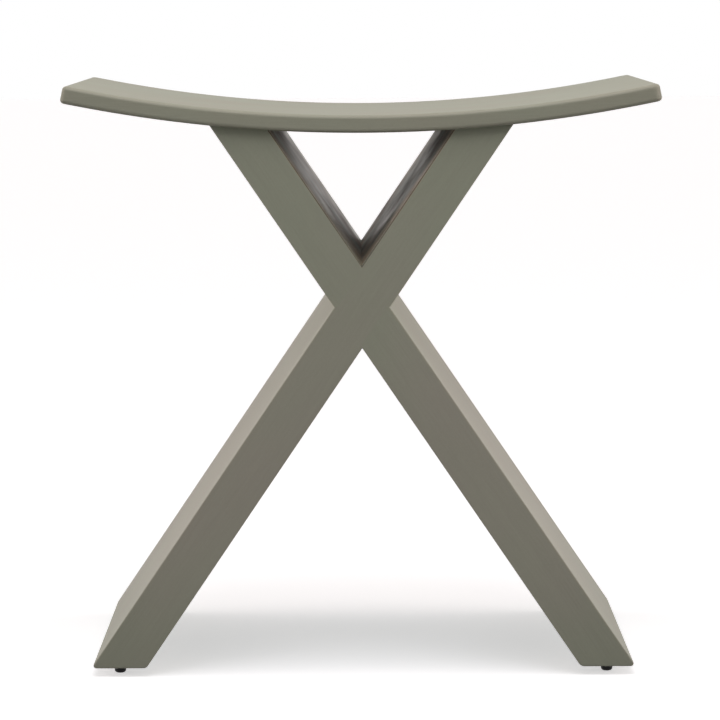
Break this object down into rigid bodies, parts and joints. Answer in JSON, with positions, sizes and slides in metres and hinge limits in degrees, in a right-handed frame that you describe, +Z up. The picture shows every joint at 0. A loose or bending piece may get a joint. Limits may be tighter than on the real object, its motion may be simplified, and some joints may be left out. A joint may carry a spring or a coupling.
{
  "type": "accent stool",
  "caption": "Backless accent stool: a dished rectangular wooden seat on wide boards that cross in an X, painted sage grey, on small black glides.",
  "frame": {"origin": "on the floor, under the middle of the seat", "axes": "+Z up, +X along the seat's width to the right as seen from the front, +Y from the front to the back"},
  "size_m": [0.458, 0.305, 0.457],
  "materials": {
    "painted_wood": "satin sage-grey paint over solid wood",
    "bare_beech": "unfinished beech",
    "plated_steel": "zinc plated",
    "black_nylon": "glossy black moulding"
  },
  "bodies": {
    "root": {"seat_panel": "painted_wood", "leg_panel_left": "painted_wood", "leg_panel_right": "painted_wood", "screw_plug_left_front": "painted_wood", "screw_plug_left_middle": "painted_wood", "screw_plug_left_back": "painted_wood", "screw_plug_right_front": "painted_wood", "screw_plug_right_middle": "painted_wood", "screw_plug_right_back": "painted_wood", "seat_dowel_left_front": "bare_beech", "seat_dowel_left_back": "bare_beech", "seat_dowel_right_front": "bare_beech", "seat_dowel_right_back": "bare_beech", "seat_screw_left_front": "plated_steel", "seat_screw_left_middle": "plated_steel", "seat_screw_left_back": "plated_steel", "seat_screw_right_front": "plated_steel", "seat_screw_right_middle": "plated_steel", "seat_screw_right_back": "plated_steel", "glide_front_left": "black_nylon", "glide_front_right": "black_nylon", "glide_back_left": "black_nylon", "glide_back_right": "black_nylon", "glide_nail_front_left": "plated_steel", "glide_nail_front_right": "plated_steel", "glide_nail_back_left": "plated_steel", "glide_nail_back_right": "plated_steel"}
  },
  "joints": []
}
